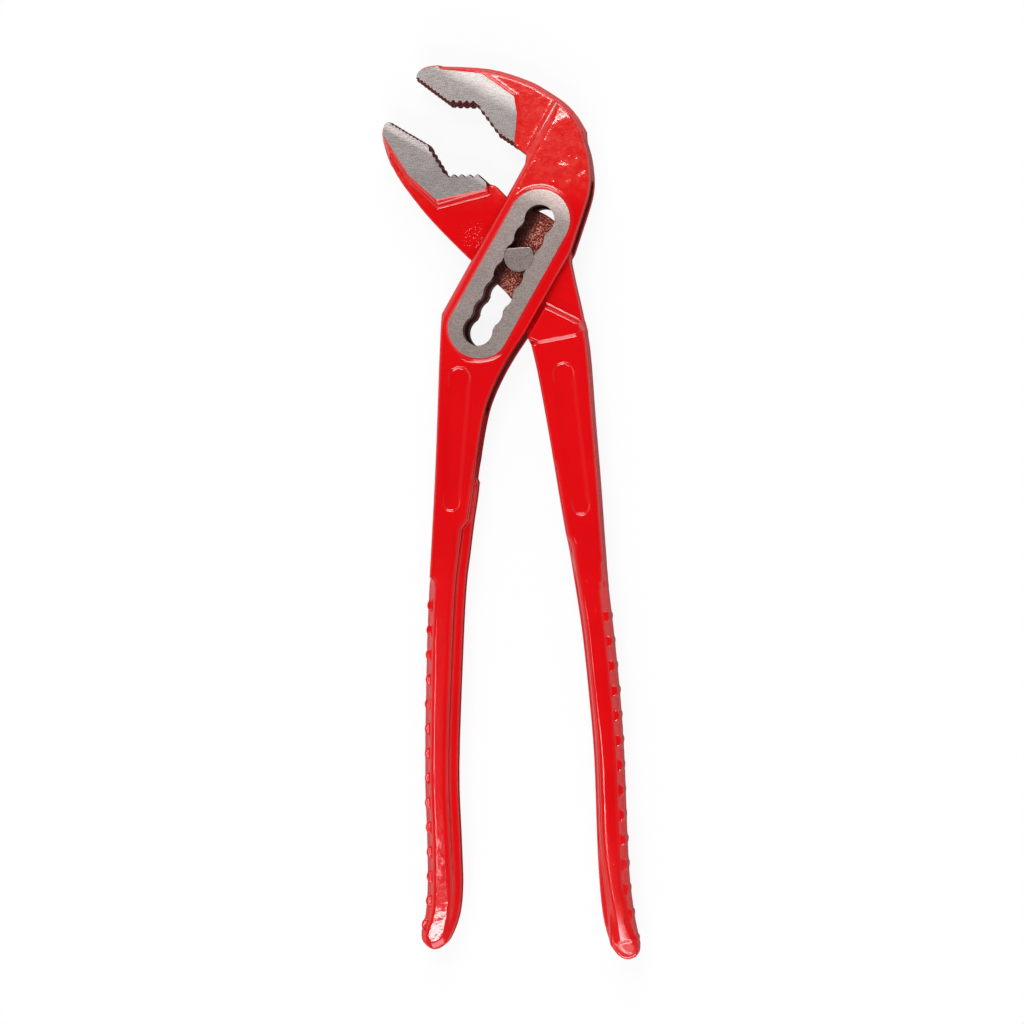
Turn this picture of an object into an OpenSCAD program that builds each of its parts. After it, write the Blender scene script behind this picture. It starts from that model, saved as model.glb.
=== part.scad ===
// Box-joint water pump pliers, lying on the rear face of their joint.
// The jaws point to +Y, the thickness runs along Z and the front faces +Z.
// The origin is on the pivot axis at rest, level with the rear boss face.

/* [Joint] */
// Number of notches along the slot
notch_count = 7; // [6:1:8]
// Distance from one notch to the next
notch_pitch = 5.86; // [5.6:0.02:6.1]
// Notch that holds the pivot at rest, counted from the jaws
rest_notch = 3; // [2:1:4]
// Lean of the slot from the X axis, in degrees
slot_lean = 60.4; // [58:0.2:62]
// Width of the slot between two notches
slot_w = 7.2; // [6.9:0.1:7.6]
// Diameter of the D-shaped pivot heads
head_d = 8.24; // [8:0.02:8.6]
// Distance from the pivot axis to the flat of a head
head_flat = 2.6; // [2.2:0.1:2.9]
// Lean of that flat from the X axis at rest, in degrees
flat_lean = 3; // [0:1:6]
// Radial play between a pivot head and its notch
notch_play = 0.08; // [0.05:0.01:0.1]
// How far the head faces lie below the boss faces
head_sink = 0.15; // [0.1:0.05:0.4]
// Diameter of the round spigot under a head
spigot_d = 7; // [6.4:0.1:7.4]
// Depth of the spigot in the inner lever
spigot_l = 1.2; // [0.8:0.1:1.8]
// Radial play of the spigot in its seat
spigot_play = 0.02; // [0.01:0.01:0.04]
// Diameter of the round pivot pin
pin_d = 5; // [4.2:0.1:5.4]
// Length of the pivot pin
pin_l = 11; // [9:0.2:11.6]
// Radial play of the pin in its bores
pin_play = 0.04; // [0.02:0.01:0.08]
// Play at each end of the pin
pin_end_play = 0.1; // [0.05:0.05:0.3]

/* [Box] */
// Thickness of the box across its painted faces
box_t = 12.6; // [11.8:0.2:13.4]
// Height of the ground boss above the painted face
boss_rise = 0.7; // [0.4:0.1:1]
// Width of the ground boss around the slot
boss_w = 17; // [15.6:0.2:18.4]
// Distance from the slot axis to the jaw-side edge of the box
box_left = 11.7; // [11.2:0.1:12.2]
// Distance from the slot axis to the handle-side edge of the box
box_right = 11.9; // [11.4:0.1:12.2]
// Thickness of the neck that passes through the box
neck_t = 6.4; // [5.6:0.1:6.8]
// Radius of the neck around the pivot
neck_r = 13.9; // [13.2:0.1:14.2]
// Play beside the neck, on each face
neck_play = 0.2; // [0.15:0.05:0.4]
// Room between the neck and the ends of its window
window_room = 0.6; // [0.5:0.1:1]

/* [Jaws] */
// Thickness of the painted jaws
jaw_t = 9; // [8:0.2:10]
// Height of the ground pads above the painted jaws
pad_rise = 0.6; // [0.4:0.1:1]
// Depth of the fine teeth
fine_tooth = 0.5; // [0.3:0.05:0.7]
// Depth of the coarse teeth
coarse_tooth = 1; // [0.6:0.1:1.2]
// Height of the ridge along the back of the head
ridge_h = 0.8; // [0.4:0.1:1.2]

/* [Handles] */
// Thickness of the handles at their root
root_t = 10.4; // [9.6:0.2:11]
// Thickness of the handles at their end
end_t = 8.6; // [8:0.2:9.4]
// Thickness of the flange along the parting plane
flange_t = 4.4; // [3.6:0.2:5.2]
// Width of the flange on the inner side of a grip
flange_w = 2.2; // [1.8:0.1:2.6]
// Width of the ribbed band on the outer side of a grip
band_w = 2.4; // [2:0.1:2.8]
// Length of the outer lever's grip
outer_grip_l = 102.2; // [90:0.2:115]
// Length of the inner lever's grip
inner_grip_l = 103.6; // [90:0.2:115]
// Radius of the grip ribs
rib_r = 1.6; // [1.3:0.1:1.8]
// Distance from one grip rib to the next
rib_pitch = 6.9; // [5.6:0.1:8]
// Height of the grip ribs above the flange
rib_rise = 1.4; // [1:0.1:1.8]
// Thickness of the finger guard beside the box
guard_t = 11.4; // [10.8:0.2:12]
// Gap between the finger guard and the box at rest
guard_gap = 1.2; // [1:0.1:1.6]

/* [Hidden] */
$fn = 64;

// Turning range of the inner lever from rest, in degrees
open_angle = 60;
close_angle = 1;

mid_z = box_t / 2 + boss_rise;
boss_t = box_t + 2 * boss_rise;
pad_t = jaw_t + 2 * pad_rise;
window_t = neck_t + 2 * neck_play;
notch_r = head_d / 2 + notch_play;
bore_r = pin_d / 2 + pin_play;
seat_r = spigot_d / 2 + spigot_play;
beyond = 60;

// Point at a distance u along the slot and v to its handle side, from the pivot axis
function at(u, v) = [
    u * cos(slot_lean) + v * sin(slot_lean),
    u * sin(slot_lean) - v * cos(slot_lean)
];

u_top = (rest_notch - 1) * notch_pitch;
u_bottom = u_top - (notch_count - 1) * notch_pitch;
top_notch = at(u_top, 0);
bottom_notch = at(u_bottom, 0);

// Points moved by a vector
function moved(points, by) = [for (p = points) p + by];

// Points turned about the pivot axis
function turned(points, angle) = [
    for (p = points)
        [p[0] * cos(angle) - p[1] * sin(angle), p[0] * sin(angle) + p[1] * cos(angle)]
];

// List in reverse order, and a stretch of a list
function reversed(list) = [for (i = [len(list) - 1:-1:0]) list[i]];
function stretch(list, from, to) = [for (i = [from:to]) list[i]];

// Points [x, share of the length] hung below a start point
function hung(points, start, length) = [for (p = points) start + [p[0], -p[1] * length]];

// Open line set back to the right of its direction
function set_back(p, d) =
    let (last = len(p) - 1)
        [
            for (i = [0:last])
                let (t = p[min(i + 1, last)] - p[max(i - 1, 0)])
                    p[i] + d * [t[1], -t[0]] / norm(t)
        ];

// Smooth curve through the points
curve_steps = 4;
function bend(a, b, c, d, t) =
    b + t / 2 * (c - a + t * (2 * a - 5 * b + 4 * c - d + t * (3 * (b - c) + d - a)));
function curve(p) =
    let (last = len(p) - 1)
        concat(
            [
                for (i = [0:last - 1])
                    for (k = [0:curve_steps - 1])
                        bend(p[max(i - 1, 0)], p[i], p[i + 1], p[min(i + 2, last)], k / curve_steps)
            ],
            [p[last]]
        );

// Arc of a circle from one angle to another
arc_step = 7;
function arc(centre, r, from, to) =
    let (n = ceil(abs(to - from) / arc_step))
        [
            for (i = [0:n])
                let (angle = from + (to - from) * i / n)
                    centre + r * [cos(angle), sin(angle)]
        ];

// Row of teeth from p to q, cut to the left of that line, without the last point
function teeth(p, q, count, depth) =
    let (side = [p[1] - q[1], q[0] - p[0]] / norm(q - p))
        [
            for (i = [0:count - 1])
                for (half = [0, 1])
                    p + (q - p) * (i + half / 2) / count + side * depth * half
        ];

// Head of the outer lever, measured from the top notch
head_tip = [[-35.2, 40], [-34.8, 41.6], [-32.8, 43.4], [-28.6, 44]];
head_back = [
    [-28.6, 44], [-14.7, 42.9], [-3.9, 39.5], [2, 36.2], [6.8, 32.8], [9.8, 29.4], [12.4, 25]
];
box_back = [[12.4, 22], [13.5, 18.2], [14.2, 12], [13.8, 7.3], [12.4, 2.4]];
head_corner = [-4.2, 18.4];
upper_grip = [[-35.2, 40], [-25.6, 32.7], [-18.1, 32.3], [-11.9, 23.9], [-7.8, 21.2]];
upper_pad = [[-7.3, 22], [-6.6, 29.6], [-7.4, 34.6], [-16.5, 41.2], [-28.3, 42.6]];

// Painted rim left between the teeth and the upper pad
pad_inset = [0.2, 0.4];

// Slope on the head between the box and the jaw
slope_foot = [-4.2, 19.4];
slope_lean = 61;
slope_w = 3;

// Handle of the outer lever, measured from the bottom notch
outer_root_left = [[-11, -3.1], [-11.4, -12.5], [-12.4, -37], [-13.6, -59.5]];
outer_root_right = [[9, -7], [5.4, -13.4], [2.3, -20.7], [0.5, -28.7], [-0.9, -38], [-1.3, -41]];
outer_flange_root = [[-0.6, -42.2], [-1, -46], [-2.2, -54], [-3.2, -62]];
outer_grip_start = [0, -71];
outer_grip_left = [
    [-14.3, 0], [-15, 0.16], [-15.6, 0.5], [-15, 0.7], [-14.9, 0.82], [-15.5, 0.9], [-16.7, 0.95]
];
outer_grip_right = [
    [-4.3, 0], [-5.2, 0.16], [-6.4, 0.5], [-5.7, 0.7], [-5.3, 0.82], [-6, 0.9], [-7.8, 0.95]
];
outer_tip = [[-16.7, 0.95], [-16.4, 0.978], [-13.4, 1], [-9.8, 0.982], [-7.8, 0.95]];

// Lower jaw and neck of the inner lever, measured from the pivot axis
lower_tip = [[-36.3, 38.1], [-37.4, 38.3], [-38.6, 37.2], [-39, 35.4]];
lower_back = [[-39, 35.4], [-38.2, 30.5], [-35.2, 23.7], [-30.3, 16.8], [-24.6, 10]];
heel = [[-24.6, 10], [-15, 0.3], [-7, -6.9]];
crotch = [[-2.6, -11.6], [1.2, -19], [2.9, -23.9]];
lower_grip = [[-36.3, 38.1], [-26.3, 32.1], [-25.6, 31.1], [-20.9, 23.5], [-12.1, 23.4], [-9.3, 20.9]];
lower_shoulder = [[-8.8, 18.2], [-23.4, 14.6], [-31, 21.6], [-36.6, 29.6]];
lower_pad = [[-9.6, 19.2], [-23.6, 16.4], [-31.2, 23.2], [-36, 30.6]];
neck_top = [[-7.2, 20.3], [-4.1, 17.1]];

// Handle of the inner lever, measured from the pivot axis
inner_root_left = [[4.9, -32.5], [8, -49.3], [10.8, -66.1], [13, -78.7]];
inner_root_right = [[15.1, -7.2], [17.1, -16], [18.9, -26], [20.4, -45.2], [21.8, -61.9], [23.1, -80]];
inner_grip_start = [0, -91.5];
inner_grip_left = [
    [15.1, 0], [17, 0.12], [18.8, 0.28], [20.4, 0.46], [21.4, 0.72], [22.8, 0.88], [25, 0.96]
];
inner_grip_right = [
    [24.1, 0], [25.6, 0.12], [27.3, 0.28], [28.5, 0.44], [29.6, 0.7], [30.7, 0.84], [33, 0.96]
];
inner_tip = [[25, 0.96], [27.2, 0.988], [29.9, 1], [32.6, 0.988], [33, 0.96]];

// Finger guard: its edge runs along the box, the rest is measured from the pivot axis
guard_edge = [-18.3, -8.6];
guard_far = [[16.4, -18.6], [17.2, -20.4], [15.6, -21.7], [5, -23.6]];

// Straight edges of the box and the arc of the neck
box_left_edge = [at(u_top + 11.5, -box_left), at(u_bottom - 1, -box_left)];
box_right_edge = [at(u_bottom + 6, box_right), at(u_top - 3.5, box_right)];
neck_arc = arc([0, 0], neck_r, 96, -5);

// Upper teeth, from the box to the tip
upper_teeth = moved(reversed(concat(
    teeth(upper_grip[0], upper_grip[1], 10, fine_tooth),
    teeth(upper_grip[1], upper_grip[2], 4, coarse_tooth),
    teeth(upper_grip[2], upper_grip[3], 5, coarse_tooth / 2),
    teeth(upper_grip[3], upper_grip[4], 4, fine_tooth),
    [upper_grip[4]]
)), top_notch);

// Lower teeth, from the tip to the neck
lower_teeth = concat(
    teeth(lower_grip[0], lower_grip[1], 10, -fine_tooth),
    [lower_grip[1]],
    teeth(lower_grip[2], lower_grip[3], 5, -coarse_tooth / 2),
    teeth(lower_grip[3], lower_grip[4], 4, -coarse_tooth),
    [lower_grip[4], lower_grip[5]]
);

// Edges of the outer lever, each from the jaws down
outer_start = bottom_notch + outer_grip_start;
outer_left = curve(concat(
    [box_left_edge[1]],
    moved(outer_root_left, bottom_notch),
    [outer_start + [outer_grip_left[0][0], 0]]
));
outer_band = curve(hung(outer_grip_left, outer_start, outer_grip_l));
outer_right = curve(concat([box_right_edge[0]], moved(outer_root_right, bottom_notch)));
outer_flange = curve(concat(
    moved(outer_flange_root, bottom_notch),
    hung(outer_grip_right, outer_start, outer_grip_l)
));
outer_end = curve(hung(outer_tip, outer_start, outer_grip_l));
head_line = curve(moved(head_back, top_notch));
head_face = set_back(head_line, ridge_h);
box_line = curve(moved(box_back, top_notch));

// Edges of the inner lever, each from the jaws down
inner_back = curve(concat(lower_back, stretch(heel, 1, 2), crotch));
inner_left = curve(concat([crotch[2]], inner_root_left));
inner_flange = curve(hung(inner_grip_left, inner_grip_start, inner_grip_l));
inner_right = curve(concat(
    [neck_arc[len(neck_arc) - 1]],
    inner_root_right,
    [inner_grip_start + [inner_grip_right[0][0], 0]]
));
inner_band = curve(hung(inner_grip_right, inner_grip_start, inner_grip_l));
inner_end = curve(hung(inner_tip, inner_grip_start, inner_grip_l));

// Upright plate with the given outline, centred on the parting plane
module plate(outline, thickness) {
    last = len(outline) - 1;
    translate([0, 0, mid_z - thickness / 2])
        linear_extrude(thickness)
            polygon([
                for (i = [0:last])
                    if (norm(outline[i] - outline[i < last ? i + 1 : 0]) > 0.01)
                        outline[i]
            ]);
}

// Side profile of a handle: thick down to the root, then tapering to the end
module handle_profile(thick, thick_y, root_y, end_y) {
    side = [[beyond, thick / 2], [thick_y, thick / 2], [root_y, root_t / 2], [end_y, end_t / 2]];
    translate([-beyond, 0, mid_z])
        rotate([90, 0, 90])
            linear_extrude(2 * beyond)
                polygon(concat(side, [for (p = reversed(side)) [p[0], -p[1]]]));
}

// Round ribs on the outer band of a grip
module grip_ribs(edge, start, length, inward, first) {
    count = floor((0.95 - first) * length / rib_pitch);
    for (i = [0:count]) {
        share = first + i * rib_pitch / length;
        x = lookup(share, [for (p = edge) [p[1], p[0]]]) + inward * (rib_r - 0.15);
        translate([start[0] + x, start[1] - share * length, mid_z])
            cylinder(r = rib_r, h = flange_t + 2 * rib_rise, center = true);
    }
}

// Ground boss around the slot
module boss() {
    plate(concat(
        arc(top_notch, boss_w / 2, slot_lean - 90, slot_lean + 90),
        arc(bottom_notch, boss_w / 2, slot_lean + 90, slot_lean + 270)
    ), boss_t);
}

// Slot with its notches, through both walls of the box
module slot() {
    for (i = [0:notch_count - 1]) {
        centre = at(u_top - i * notch_pitch, 0);
        translate([centre[0], centre[1], mid_z])
            cylinder(r = notch_r, h = boss_t + 2, center = true);
    }
    rotate(slot_lean)
        translate([u_bottom, -slot_w / 2, mid_z - boss_t / 2 - 1])
            cube([u_top - u_bottom, slot_w, boss_t + 2]);
}

// Window through the box: the neck swings and slides in it
module window() {
    opened = moved(turned(heel, open_angle), bottom_notch + [0, -window_room]);
    closed = moved(turned(crotch, -close_angle), bottom_notch + [-window_room, -window_room]);
    plate(concat(
        [at(u_top + 13.8, -box_left - 3), at(u_top + 13.8, -box_left + 0.5)],
        arc(top_notch, neck_r + window_room, 94, 52),
        [top_notch + [18, 11], closed[2] + [12, -6], closed[2], closed[1], closed[0]],
        [opened[1], opened[0], at(u_bottom, -box_left - 9)]
    ), window_t);
}

// Cut that slopes from the face of the box down to the face of the jaw
module head_slope() {
    foot = top_notch + slope_foot;
    sunk = 0.3;
    run = slope_w * sunk / (box_t / 2 - jaw_t / 2);
    section = [
        [run, jaw_t / 2 - sunk],
        [-slope_w, box_t / 2],
        [-slope_w, box_t],
        [beyond, box_t],
        [beyond, jaw_t / 2 - sunk]
    ];
    for (side = [0, 1])
        translate([foot[0], foot[1], mid_z])
            mirror([0, 0, side])
                rotate([0, 0, slope_lean])
                    rotate([90, 0, 90])
                        translate([0, 0, -beyond / 2])
                            linear_extrude(beyond * 1.5)
                                polygon(section);
}

// Upper jaw, box and left handle, forged in one piece
module outer_lever() {
    corner = top_notch + head_corner;
    tip = curve(moved(head_tip, top_notch));
    band_last = len(outer_band) - 6;
    flange_first = 10;
    flange_last = len(outer_flange) - 6;
    face = concat(
        [corner],
        box_left_edge,
        outer_left,
        moved(stretch(outer_band, 1, band_last), [band_w, 0]),
        outer_end,
        reversed(moved(stretch(outer_flange, flange_first, flange_last), [-flange_w, 0])),
        reversed(outer_right),
        box_right_edge,
        reversed(box_line),
        reversed(stretch(head_face, 8, len(head_face) - 1))
    );
    color("firebrick")
        difference() {
            union() {
                difference() {
                    intersection() {
                        plate(face, box_t);
                        handle_profile(
                            box_t,
                            bottom_notch[1] - 6,
                            bottom_notch[1] + outer_flange_root[0][1],
                            outer_start[1] - outer_grip_l
                        );
                    }
                    head_slope();
                }
                plate(concat(tip, head_face, [top_notch, corner], upper_teeth), jaw_t);
                plate(concat(tip, head_line, [top_notch + box_back[0], top_notch, corner],
                    upper_teeth), flange_t);
                plate(concat(moved(upper_teeth, pad_inset), tip,
                    moved(reversed(upper_pad), top_notch)), pad_t);
                plate(concat([box_left_edge[1]], outer_left, outer_band, outer_end,
                    reversed(outer_flange), reversed(outer_right)), flange_t);
                grip_ribs(outer_grip_left, outer_start, outer_grip_l, 1, 0.055);
                boss();
            }
            window();
            slot();
        }
}

// Lower jaw, neck and right handle, forged in one piece
module inner_lever() {
    tip = curve(lower_tip);
    band_last = len(inner_band) - 6;
    flange_last = len(inner_flange) - 6;
    guard_v = box_right + guard_gap;
    face = concat(
        [crotch[2]],
        inner_left,
        moved(stretch(inner_flange, 1, flange_last), [flange_w, 0]),
        inner_end,
        reversed(moved(stretch(inner_band, 1, band_last), [-band_w, 0])),
        reversed(stretch(inner_right, 10, len(inner_right) - 1))
    );
    color("red")
        difference() {
            union() {
                plate(concat(lower_teeth, neck_top, neck_arc, inner_right,
                    reversed(inner_left), reversed(inner_back), reversed(tip)), neck_t);
                plate(concat(lower_teeth, lower_shoulder, reversed(stretch(inner_back, 0, 6)),
                    reversed(tip)), jaw_t);
                plate(concat(lower_teeth, lower_pad, reversed(tip)), pad_t);
                intersection() {
                    plate(face, root_t);
                    handle_profile(
                        root_t,
                        crotch[2][1],
                        inner_root_left[3][1],
                        inner_grip_start[1] - inner_grip_l
                    );
                }
                plate(concat(inner_left, inner_flange, inner_end,
                    reversed(inner_band), reversed(inner_right)), flange_t);
                grip_ribs(inner_grip_right, inner_grip_start, inner_grip_l, -1, 0.08);
                plate(concat([at(guard_edge[0], guard_v), at(guard_edge[1], guard_v)], guard_far), guard_t);
            }
            translate([0, 0, mid_z])
                cylinder(r = bore_r, h = boss_t, center = true);
            for (side = [-1, 1])
                translate([0, 0, mid_z + side * (neck_t / 2 - spigot_l / 2 + 0.5)])
                    cylinder(r = seat_r, h = spigot_l + 1, center = true);
        }
}

// Round pin on the pivot axis
module pivot_pin() {
    color("dimgray")
        translate([0, 0, mid_z])
            cylinder(d = pin_d, h = pin_l, center = true);
}

// D-shaped head with a spigot below it and a blind bore for the pin
module pivot_head() {
    face_z = boss_t / 2 - head_sink;
    color("silver")
        translate([0, 0, mid_z])
            difference() {
                union() {
                    intersection() {
                        translate([0, 0, neck_t / 2])
                            cylinder(d = head_d, h = face_z - neck_t / 2);
                        rotate(flat_lean)
                            translate([-head_d, -head_d, 0])
                                cube([2 * head_d, head_d + head_flat, boss_t]);
                    }
                    translate([0, 0, neck_t / 2 - spigot_l])
                        cylinder(d = spigot_d, h = spigot_l + 0.5);
                }
                cylinder(r = bore_r, h = pin_l / 2 + pin_end_play);
            }
}

module front_pivot_head() {
    pivot_head();
}

module rear_pivot_head() {
    translate([0, 0, 2 * mid_z])
        mirror([0, 0, 1])
            pivot_head();
}

outer_lever();
inner_lever();
pivot_pin();
front_pivot_head();
rear_pivot_head();
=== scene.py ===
import math

import bmesh
import bpy
import numpy as np
import openvdb
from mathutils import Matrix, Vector


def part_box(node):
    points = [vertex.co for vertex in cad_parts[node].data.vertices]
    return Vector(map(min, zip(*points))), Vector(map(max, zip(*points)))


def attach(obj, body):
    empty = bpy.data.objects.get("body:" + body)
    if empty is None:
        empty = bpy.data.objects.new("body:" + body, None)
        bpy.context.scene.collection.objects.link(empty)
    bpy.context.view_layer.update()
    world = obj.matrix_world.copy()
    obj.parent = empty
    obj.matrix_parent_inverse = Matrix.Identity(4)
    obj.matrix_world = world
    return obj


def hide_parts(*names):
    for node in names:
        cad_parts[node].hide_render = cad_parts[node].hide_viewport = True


# Looks of the box-joint pliers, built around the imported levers.
# Shapes are worked out in millimetres from the pivot, with z measured from the parting plane.
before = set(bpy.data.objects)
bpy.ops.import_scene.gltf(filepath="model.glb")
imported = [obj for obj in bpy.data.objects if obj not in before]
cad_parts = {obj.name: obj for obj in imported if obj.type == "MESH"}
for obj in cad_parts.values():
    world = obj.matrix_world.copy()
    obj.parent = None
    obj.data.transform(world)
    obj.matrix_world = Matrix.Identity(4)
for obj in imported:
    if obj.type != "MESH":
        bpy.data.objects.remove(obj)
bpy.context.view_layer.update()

# Height of the parting plane, pitch of the lattice, and how far distances are worked out
MID_Z = 7.0
VOXEL = 0.25
REACH = 6.0

# Slot: its first and last notch and its direction. Jaws: the way from the lower to the upper one
TOP_NOTCH = np.array((5.789, 10.19))
BOTTOM_NOTCH = np.array((-11.578, -20.381))
SLOT_AXIS = np.array((0.493942, 0.869495))
JAW_AXIS = np.array((0.5, 0.87))

# Half thicknesses of the forms
BOSS_FACE = 7.0
HEAD_FACE = 6.85
BOX_HALF = 6.3
GUARD_HALF = 5.7
HANDLE_HALF = 5.2
PAD_FACE = 5.1
JAW_HALF = 4.5
END_HALF = 4.3
WINDOW_HALF = 3.4
NECK_HALF = 3.2
FLANGE_HALF = 2.2
SEAT_FLOOR = 2.0

# Heights at which the CAD nodes are sliced
BOSS_LEVEL = 6.6
HEAD_LEVEL = 5.8
GUARD_LEVEL = 5.5
PAD_LEVEL = 4.8
FACE_LEVEL = 4.0
WINDOW_LEVEL = 3.0
NECK_LEVEL = 2.7
FLANGE_LEVEL = 1.0

# Fillet between the forms of a lever, and how far they may stand out of its silhouette
FILLET = 0.8
OVERHANG = 0.3

# Handles, as distances below the pivot: ribbed stretch, stretch where the flange widens, and end
GRIP_START = 92
GRIP_END = 188
FLARE_START = 158
FLARE_END = 190
HANDLE_END = 194
RIB_PITCH = 6.9
RIB_COUNT = 14

# Bare panels on the handles' roots: upper end, lower end and their radii
OUTER_PANEL = ((-16.9, -33.6), (-19.3, -68.2), 3.1, 2.4)
INNER_PANEL = ((12.2, -32.4), (17.2, -69.2), 3.0, 2.4)

# Lowest y of the jaws, and a distance that is past every edge of the head
UPPER_JAW_START = 20
LOWER_JAW_START = 5
FAR = 60

# Dents on the head: their width, and the ends and depth of each
DENT_WIDTH = 0.7
HEAD_DENTS = (
    ((10.9, 28.4), (11.7, 26.6), 0.2),
    ((11.7, 26.6), (13.2, 26.0), 0.13),
    ((16.6, 23.0), (17.9, 24.0), 0.15),
    ((13.2, 21.4), (13.9, 21.8), 0.12),
)

# Kinds of face, in the order of a lever's materials
PAINT, GROUND, SLOT, WINDOW, TEETH = range(5)

# Lamps in metres and watts: name, place, target, size and power
AIM = (0, -0.07, 0)
LAMPS = (
    ("top_strip", (-0.12, 0.446, 0.971), AIM, (0.5, 0.12), 3.7),
    ("bottom_strip", (0, -0.586, 0.971), AIM, (0.55, 0.13), 3.6),
    ("top_box", (0, 0.95, 0.64), AIM, (0.9, 0.5), 5.6),
    ("bottom_box", (0, -1.09, 0.64), AIM, (0.9, 0.5), 5.0),
    ("crest_lamp", (-0.24, -0.28, 0.97), (-0.24, -0.17, 0), (0.02, 0.24), 0.3),
)

# Camera: its place in metres, its turn to the right of the front, and its lens in millimetres
CAMERA_PLACE = (0.11478, -0.07085, 0.82357)
CAMERA_TURN = math.radians(8.2)
SENSOR_WIDTH = 36
FOCAL_LENGTH = 103.58


# Outlines of the CAD nodes

def slice_loops(name, level):
    """Closed outlines of a CAD node at a height above the parting plane, largest first."""
    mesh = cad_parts[name].data
    mesh.calc_loop_triangles()
    points = np.empty(len(mesh.vertices) * 3)
    mesh.vertices.foreach_get("co", points)
    points = points.reshape(-1, 3) * 1000 - (0, 0, MID_Z)
    corners = np.empty(len(mesh.loop_triangles) * 3, np.int32)
    mesh.loop_triangles.foreach_get("vertices", corners)
    weld = np.unique(np.round(points, 4), axis=0, return_inverse=True)[1].ravel()
    above = points[:, 2] > level
    links = {}
    place = {}
    for tri in corners.reshape(-1, 3):
        if above[tri].all() or not above[tri].any():
            continue
        ends = []
        for a, b in ((tri[0], tri[1]), (tri[1], tri[2]), (tri[2], tri[0])):
            if above[a] != above[b]:
                key = (min(weld[a], weld[b]), max(weld[a], weld[b]))
                share = (level - points[a, 2]) / (points[b, 2] - points[a, 2])
                place[key] = points[a, :2] + share * (points[b, :2] - points[a, :2])
                ends.append(key)
        links.setdefault(ends[0], []).append(ends[1])
        links.setdefault(ends[1], []).append(ends[0])
    loops = []
    seen = set()
    for start in links:
        if start in seen:
            continue
        loop = []
        here = start
        while here is not None:
            seen.add(here)
            loop.append(place[here])
            here = next((n for n in links[here] if n not in seen), None)
        loops.append(np.array(loop))
    return sorted(loops, key=lambda p: -abs(loop_area(p)))


def loop_area(p):
    """Area inside a closed outline, with the sign of its direction."""
    q = np.roll(p, -1, axis=0)
    return 0.5 * np.sum(p[:, 0] * q[:, 1] - p[:, 1] * q[:, 0])


def loops_above(loops, y):
    """Those outlines whose points all lie above a y."""
    return [p for p in loops if p[:, 1].min() > y]


def corners_only(loop):
    """Outline without doubled points and points on its straight runs."""
    doubled = 0.03
    straight = 0.001
    kept = [loop[0]]
    for point in loop[1:]:
        if min(math.dist(point, kept[-1]), math.dist(point, kept[0])) > doubled:
            kept.append(point)
    kept = np.array(kept)
    before = kept - np.roll(kept, 1, axis=0)
    after = np.roll(kept, -1, axis=0) - kept
    turn = before[:, 0] * after[:, 1] - before[:, 1] * after[:, 0]
    span = np.hypot(*(before + after).T)
    return kept[np.abs(turn) / span > straight]


# Shapes as distance fields on a lattice

class Lattice:
    """Points around one lever, on the upper side of the parting plane."""

    def __init__(self, node, top):
        margin = 2
        low, high = (np.array(corner) * 1000 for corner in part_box(node))
        self.xs = np.arange(low[0] - margin, high[0] + margin, VOXEL)
        self.ys = np.arange(low[1] - margin, high[1] + margin, VOXEL)
        self.zs = (np.arange(round(top / VOXEL)) + 0.5) * VOXEL
        self.x = self.xs[:, None]
        self.y = self.ys[None, :]
        self.z = self.zs[None, None, :].astype(np.float32)

    def distance(self, loops):
        """Distance to closed outlines, negative inside and cut off at REACH."""
        shape = (len(self.xs), len(self.ys))
        square = np.full(shape, REACH ** 2)
        inside = np.zeros(shape, bool)
        for loop in loops:
            for p, q in zip(loop, np.roll(loop, -1, axis=0)):
                e = q - p
                if e @ e < 1e-12:
                    continue
                low = np.minimum(p, q) - REACH
                high = np.maximum(p, q) + REACH
                i, k = np.searchsorted(self.xs, (low[0], high[0]))
                j, m = np.searchsorted(self.ys, (low[1], high[1]))
                dx = self.x[i:k] - p[0]
                dy = self.y[:, j:m] - p[1]
                t = np.clip((dx * e[0] + dy * e[1]) / (e @ e), 0, 1)
                part = (dx - t * e[0]) ** 2 + (dy - t * e[1]) ** 2
                np.minimum(square[i:k, j:m], part, out=square[i:k, j:m])
                if e[1] != 0:
                    j, m = np.searchsorted(self.ys, sorted((p[1], q[1])))
                    cross = p[0] + (self.y[:, j:m] - p[1]) * (e[0] / e[1])
                    inside[:, j:m] ^= self.x < cross
        far = np.sqrt(square)
        return np.where(inside, -far, far)

    def edges(self, d):
        """First and last x inside an outline, for each row of the lattice."""
        inside = d < 0
        first = self.xs[np.argmax(inside, axis=0)]
        last = self.xs[len(self.xs) - 1 - np.argmax(inside[::-1], axis=0)]
        return first, last

    def along(self, axis, start=(0, 0)):
        """Distance along a direction in the plane, from the pivot or another point."""
        return (self.x - start[0]) * axis[0] + (self.y - start[1]) * axis[1]

    def below(self, start, end):
        """Smooth step from 0 to 1 between two distances below the pivot."""
        return step(-self.y, start, end)


def step(value, low, high):
    """Smooth step from 0 at low to 1 at high."""
    t = np.clip((value - low) / (high - low), 0, 1)
    return t * t * (3 - 2 * t)


def without_bumps(edge, width):
    """Edge with the bumps narrower than a width taken off its upper side."""
    n = round(width / VOXEL / 2)
    for pick in (np.min, np.max):
        padded = np.pad(edge, n, mode="edge")
        edge = pick(np.lib.stride_tricks.sliding_window_view(padded, 2 * n + 1), axis=1)
    return edge


def blurred(a, width):
    """Height map smoothed over a width."""
    n = max(1, round(width / VOXEL / 2))
    for axis in (0, 1, 0, 1):
        pad = [(0, 0), (0, 0)]
        pad[axis] = (n + 1, n)
        total = np.cumsum(np.pad(a, pad, mode="edge"), axis=axis)
        upper = np.take(total, range(2 * n + 1, total.shape[axis]), axis=axis)
        lower = np.take(total, range(total.shape[axis] - 2 * n - 1), axis=axis)
        a = (upper - lower) / (2 * n + 1)
    return a


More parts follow.
